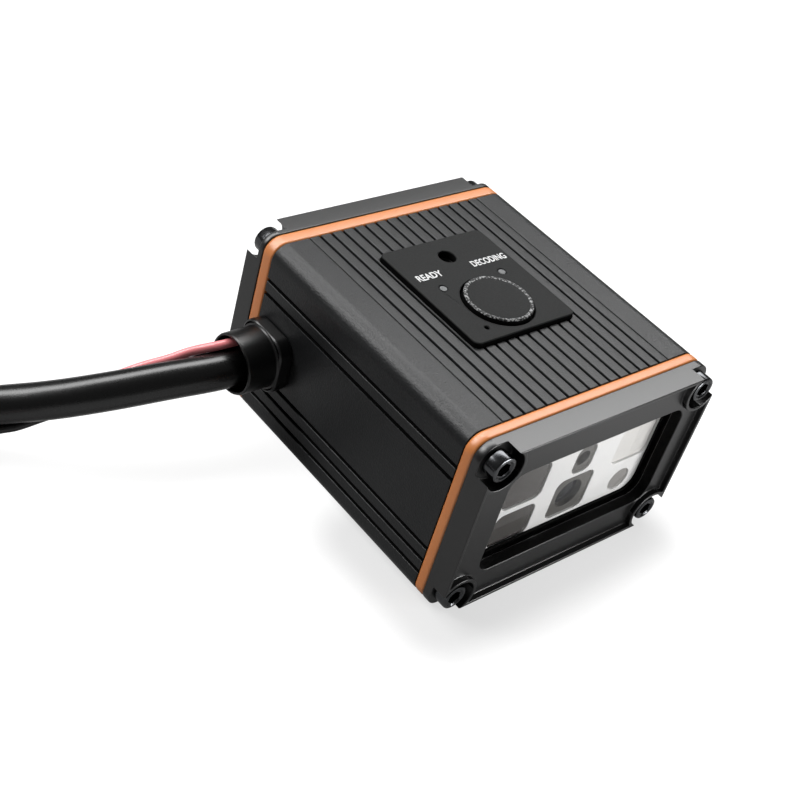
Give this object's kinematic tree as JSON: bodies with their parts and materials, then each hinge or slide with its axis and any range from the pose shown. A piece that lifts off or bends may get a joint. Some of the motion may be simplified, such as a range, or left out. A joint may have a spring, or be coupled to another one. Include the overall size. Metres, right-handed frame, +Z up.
{
  "type": "fixed barcode reader",
  "caption": "Small fixed barcode reader: a grooved black sleeve between gasketed end caps, with a reading window, a push button on top and a side cable with power leads.",
  "frame": {"origin": "middle of the housing's underside", "axes": "+X to the right as seen from the window side, +Y from the window to the rear, +Z up"},
  "size_m": [0.2123, 0.0904, 0.0341],
  "materials": {
    "black_anodised": "black anodised, satin",
    "black_cap_coat": "black satin coating",
    "orange_silicone": "matt moulded silicone",
    "black_oxide_steel": "black oxide",
    "bright_steel": "plated",
    "window_glass": "clear polished",
    "black_foam": "matt",
    "grey_moulding": "matt moulded",
    "smoke_lens": "polished",
    "black_moulding": "fine moulded texture",
    "camera_glass": "coated, polished",
    "green_board": "solder mask",
    "pale_chip": "gloss",
    "clear_pipe": "polished clear",
    "amber_film": "polyimide film",
    "ivory_moulding": "matt moulded",
    "black_jacket": "satin jacket",
    "red_jacket": "satin jacket",
    "tinned_copper": "tinned strands",
    "nickel_shell": "nickel plated"
  },
  "bodies": {
    "housing": {"sleeve": "black_anodised", "front_cap": "black_cap_coat", "rear_cap": "black_cap_coat", "front_gasket": "orange_silicone", "rear_gasket": "orange_silicone", "front_screws": "black_oxide_steel", "rear_screws": "black_oxide_steel", "window_glass": "window_glass", "window_seal": "black_foam", "light_block": "grey_moulding", "led_lenses": "smoke_lens", "sensor_lens": "smoke_lens", "camera_holder": "black_moulding", "camera_lens": "camera_glass", "aimer": "black_moulding", "engine_board": "green_board", "image_sensor": "camera_glass", "led_chips": "pale_chip", "engine_screws": "bright_steel", "top_panel": "black_moulding", "light_pipes": "clear_pipe", "main_board": "green_board", "tact_switch": "black_moulding", "status_leds": "pale_chip", "buzzer": "black_moulding", "buzzer_seal": "black_foam", "flex_cable": "amber_film", "cable_header": "ivory_moulding", "inner_harness": "black_jacket", "gland": "black_jacket", "gland_nut": "black_moulding", "cable": "black_jacket", "cable_coil": "black_jacket", "cable_tie": "black_moulding", "cable_tail": "black_jacket", "usb_body": "black_jacket", "usb_shell": "nickel_shell", "usb_insert": "ivory_moulding", "red_lead": "red_jacket", "black_lead": "black_jacket", "lead_tips": "tinned_copper"},
    "button": {"push_button": "black_moulding", "switch_plunger": "black_moulding"}
  },
  "joints": [
    {"name": "button_press", "type": "slide", "parent": "housing", "child": "button", "axis": [0, 0, -1], "range_m": [0, 0.0005], "stiffness_N_per_m": 2000, "springref_m": -0.0005}
  ]
}
